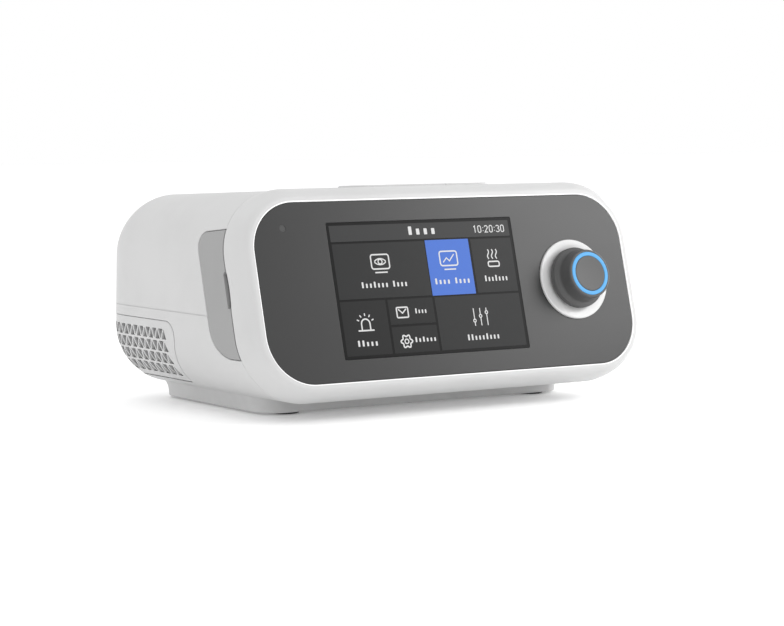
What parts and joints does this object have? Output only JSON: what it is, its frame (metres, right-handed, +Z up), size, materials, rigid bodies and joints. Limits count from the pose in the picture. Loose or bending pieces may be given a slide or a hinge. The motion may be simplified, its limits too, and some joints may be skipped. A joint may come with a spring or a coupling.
{
  "type": "bilevel breathing machine",
  "caption": "Bedside bilevel breathing machine: white moulded case, tilted dark panel with colour display, push-and-turn knob, top buttons, side flap and latticed air inlet.",
  "frame": {"origin": "centre of the bounding box at the underside of the feet", "axes": "+X to the right of the display, +Y from the front to the back, +Z up"},
  "size_m": [0.233, 0.19, 0.1109],
  "materials": {
    "housing_white": "fine moulded texture",
    "bezel_white": "satin",
    "panel_grey": "satin dark grey",
    "lens_dark": "clear hard coat over a dark display",
    "gasket_black": "closed-cell foam",
    "display_metal": "pressed frame",
    "window_smoke": "smoked clear",
    "inner_plastic": "plain moulded",
    "board_green": "solder mask",
    "knob_grey": "soft-touch",
    "ring_blue": "light guide",
    "cap_grey": "satin",
    "button_white": "satin",
    "silicone_grey": "silicone",
    "flap_grey": "matte soft moulding",
    "socket_black": "plain moulded",
    "filter_white": "non-woven",
    "blower_black": "glass-filled",
    "wheel_white": "plain moulded",
    "steel": "turned",
    "motor_metal": "black anodised",
    "foot_rubber": "matte"
  },
  "bodies": {
    "housing": {"upper_housing": "housing_white", "lower_housing": "housing_white", "front_bezel": "bezel_white", "front_panel": "panel_grey", "panel_gasket": "gasket_black", "display_lens": "lens_dark", "display_module": "display_metal", "display_carrier": "inner_plastic", "sensor_window": "window_smoke", "control_board": "board_green", "encoder_body": "display_metal", "knob_dish": "bezel_white", "button_mat": "silicone_grey", "button_board": "board_green", "flap_strip": "flap_grey", "port_bay": "inner_plastic", "card_socket": "steel", "oximeter_socket": "socket_black", "air_filter": "filter_white", "inlet_duct": "inner_plastic", "blower_box": "inner_plastic", "blower_lid": "inner_plastic", "blower_mounts": "silicone_grey", "volute_lower": "blower_black", "volute_upper": "blower_black", "motor_case": "motor_metal", "motor_bearings": "steel", "outlet_seal": "silicone_grey", "flow_sensor": "blower_black", "air_outlet": "inner_plastic", "power_inlet": "socket_black", "main_board": "board_green", "board_screws": "steel", "alarm_speaker": "socket_black", "housing_screws": "steel", "rubber_feet": "foot_rubber"},
    "encoder_rotor": {"encoder_rotor": "steel"},
    "knob": {"knob_shaft": "steel", "knob": "knob_grey", "knob_light_ring": "ring_blue", "knob_cap": "cap_grey"},
    "start_button": {"start_button": "button_white"},
    "ramp_button": {"ramp_button": "button_white"},
    "port_flap": {"port_flap": "flap_grey"},
    "inlet_cover": {"inlet_cover": "housing_white"},
    "blower_rotor": {"impeller": "wheel_white", "motor_rotor": "steel"}
  },
  "joints": [
    {"name": "knob_turn", "type": "hinge", "parent": "housing", "child": "encoder_rotor", "pos_m": [0.0745, -0.07787, 0.0617], "axis": [0, -0.9659, 0.2588], "continuous": true},
    {"name": "knob_press", "type": "slide", "parent": "encoder_rotor", "child": "knob", "axis": [0, 0.9659, -0.2588], "range_m": [0, 0.0008], "stiffness_N_per_m": 3000, "springref_m": -0.0005},
    {"name": "start_press", "type": "slide", "parent": "housing", "child": "start_button", "axis": [0, -0.0401, -0.9992], "range_m": [0, 0.001], "stiffness_N_per_m": 1500, "springref_m": -0.0006},
    {"name": "ramp_press", "type": "slide", "parent": "housing", "child": "ramp_button", "axis": [0, -0.0401, -0.9992], "range_m": [0, 0.001], "stiffness_N_per_m": 1500, "springref_m": -0.0006},
    {"name": "flap_open", "type": "hinge", "parent": "housing", "child": "port_flap", "pos_m": [-0.1165, -0.03971, 0.05148], "axis": [0, -0.2588, -0.9659], "range_deg": [0, 90], "stiffness_Nm_per_rad": 0.004},
    {"name": "cover_off", "type": "slide", "parent": "housing", "child": "inlet_cover", "axis": [-0.7071, 0.7071, 0], "range_m": [0, 0.06]},
    {"name": "blower_spin", "type": "hinge", "parent": "housing", "child": "blower_rotor", "pos_m": [0.012, 0.00513, 0.05], "axis": [0, 0, 1], "continuous": true}
  ]
}
